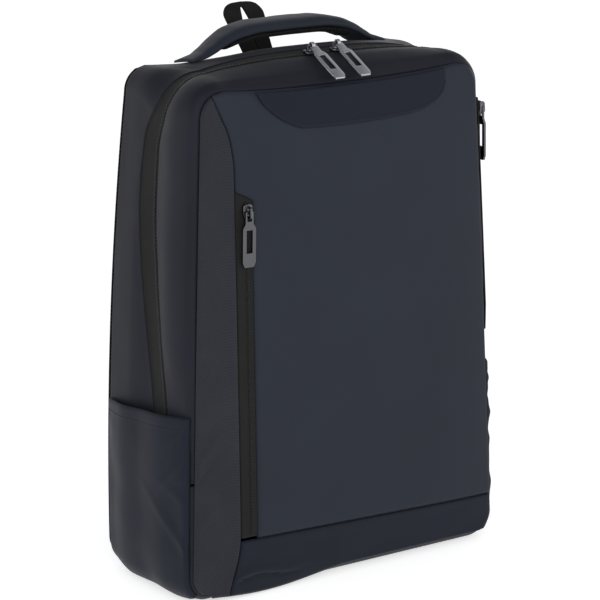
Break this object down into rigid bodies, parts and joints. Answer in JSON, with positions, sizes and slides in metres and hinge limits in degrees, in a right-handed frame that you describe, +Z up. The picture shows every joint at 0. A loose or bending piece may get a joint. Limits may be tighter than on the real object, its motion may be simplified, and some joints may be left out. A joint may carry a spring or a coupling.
{
  "type": "laptop backpack",
  "caption": "Soft laptop backpack standing upright, with a padded carry handle, a two-way main zip, a front pocket zip, side pockets and padded shoulder straps.",
  "frame": {"origin": "middle of the flat base, on the floor", "axes": "+Z up the bag, -Y out of the front panel, +X to the right seen from the front"},
  "size_m": [0.3342, 0.1776, 0.4615],
  "materials": {
    "shell": "woven cloth with a slight sheen",
    "ribbed_cloth": "ribbed cloth",
    "patch_cloth": "smooth coated cloth",
    "zip_tape": "woven tape",
    "spacer_mesh": "open spacer mesh",
    "webbing": "woven webbing",
    "black_plastic": "moulded, fine grain",
    "slider_metal": "dark plated metal"
  },
  "bodies": {
    "bag": {"rear_gusset": "shell", "front_gusset": "shell", "base_gusset": "shell", "front_panel": "shell", "front_bottom_band": "shell", "side_pocket_left": "shell", "side_pocket_right": "shell", "carry_handle": "shell", "strap_yoke": "shell", "shoulder_strap_left": "shell", "shoulder_strap_right": "shell", "strap_anchor_left": "shell", "strap_anchor_right": "shell", "front_side_strip": "ribbed_cloth", "front_top_patch": "patch_cloth", "main_zip_tape": "zip_tape", "pocket_zip_tape": "zip_tape", "side_zip_tape": "zip_tape", "back_panel": "spacer_mesh", "carry_handle_pad": "spacer_mesh", "hang_loop": "webbing", "lock_loop_left": "webbing", "lock_loop_right": "webbing", "strap_webbing_left": "webbing", "strap_webbing_right": "webbing", "ladder_lock_left": "black_plastic", "ladder_lock_right": "black_plastic", "main_zip_slider_left": "slider_metal", "main_zip_slider_right": "slider_metal", "pocket_zip_slider": "slider_metal", "side_zip_slider": "slider_metal"},
    "main_pull_left": {"main_zip_pull_left": "slider_metal"},
    "main_pull_right": {"main_zip_pull_right": "slider_metal"},
    "pocket_pull": {"pocket_zip_pull": "slider_metal"},
    "side_pull": {"side_zip_pull": "slider_metal"}
  },
  "joints": [
    {"name": "main_pull_left_flip", "type": "hinge", "parent": "bag", "child": "main_pull_left", "pos_m": [-0.009, -0.02475, 0.44517], "axis": [-1, 0, 0], "range_deg": [0, 150]},
    {"name": "main_pull_right_flip", "type": "hinge", "parent": "bag", "child": "main_pull_right", "pos_m": [0.017, -0.02475, 0.44515], "axis": [-1, 0, 0], "range_deg": [0, 150]},
    {"name": "pocket_pull_flip", "type": "hinge", "parent": "bag", "child": "pocket_pull", "pos_m": [-0.10064, -0.06529, 0.32412], "axis": [-0.9995, 0.0322, -0.0009], "range_deg": [0, 165]},
    {"name": "side_pull_flip", "type": "hinge", "parent": "bag", "child": "side_pull", "pos_m": [0.15446, -0.04451, 0.37939], "axis": [-0.1049, -0.9944, 0.0138], "range_deg": [0, 165]}
  ]
}
